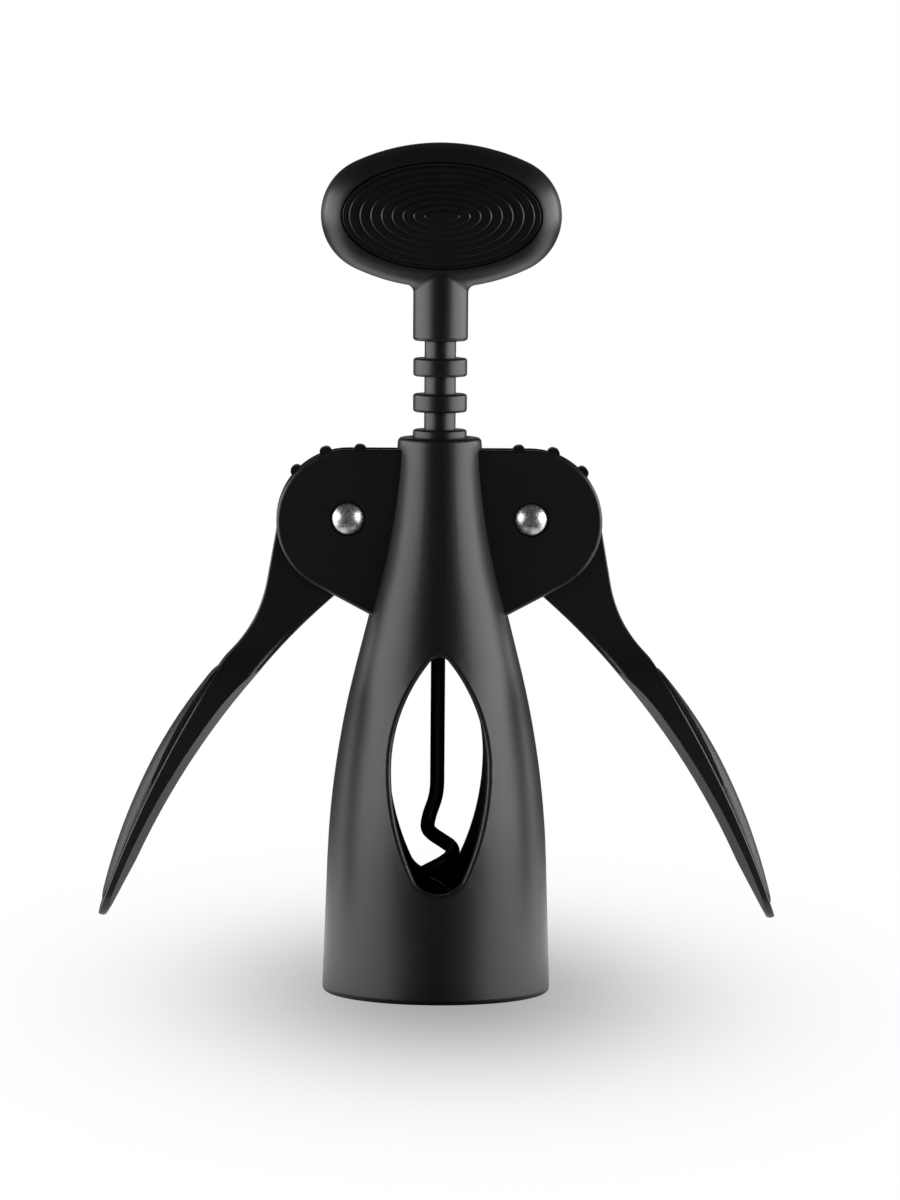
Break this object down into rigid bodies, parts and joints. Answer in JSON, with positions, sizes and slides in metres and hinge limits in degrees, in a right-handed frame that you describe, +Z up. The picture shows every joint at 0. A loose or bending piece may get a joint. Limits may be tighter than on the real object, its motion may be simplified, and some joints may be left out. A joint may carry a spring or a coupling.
{
  "type": "winged corkscrew",
  "caption": "Winged corkscrew: a bell sits on the bottle, an oval handle turns the worm into the cork, and geared side levers lift the rack to draw it.",
  "frame": {"origin": "centre of the bell's mouth, on the surface that the bell stands on", "axes": "+Z up along the worm and the handle, +X through the right lever's pivot, -Y out of the front window"},
  "size_m": [0.1268, 0.0428, 0.1594],
  "materials": {
    "black_coated_casting": "satin black coat",
    "black_coated_wire": "satin non-stick coat",
    "bright_rivet_steel": "fine grained",
    "black_rubber": "fine matt grain",
    "guide_ring_plastic": "matt"
  },
  "bodies": {
    "bell": {"bell_body": "black_coated_casting", "bottle_guide_ring": "guide_ring_plastic", "left_pivot_barrel": "bright_rivet_steel", "left_pivot_post": "bright_rivet_steel", "right_pivot_barrel": "bright_rivet_steel", "right_pivot_post": "bright_rivet_steel"},
    "left_wing": {"left_lever": "black_coated_casting", "left_lever_pad": "black_rubber"},
    "right_wing": {"right_lever": "black_coated_casting", "right_lever_pad": "black_rubber"},
    "rack": {"rack_sleeve": "black_coated_casting"},
    "spindle": {"worm": "black_coated_wire", "rack_retaining_ring": "bright_rivet_steel", "handle_frame": "black_coated_casting", "handle_inlay_front": "black_rubber", "handle_inlay_back": "black_rubber", "worm_locking_pin": "bright_rivet_steel"}
  },
  "joints": [
    {"name": "left_lever_hinge", "type": "hinge", "parent": "bell", "child": "left_wing", "pos_m": [-0.0172, 0, 0.0892], "axis": [0, 1, 0], "range_deg": [-23.5, 112]},
    {"name": "right_lever_hinge", "type": "hinge", "parent": "bell", "child": "right_wing", "pos_m": [0.0172, 0, 0.0892], "axis": [0, -1, 0], "range_deg": [-23.5, 112]},
    {"name": "rack_slide", "type": "slide", "parent": "bell", "child": "rack", "axis": [0, 0, 1], "range_m": [-0.026, 0.0056]},
    {"name": "handle_turn", "type": "hinge", "parent": "rack", "child": "spindle", "pos_m": [0, 0, 0.1215], "axis": [0, 0, 1], "continuous": true}
  ],
  "couplings": [
    {"joint": "right_lever_hinge", "follows": "left_lever_hinge", "ratio": 1},
    {"joint": "rack_slide", "follows": "left_lever_hinge", "m_per_rad": -0.0132}
  ]
}
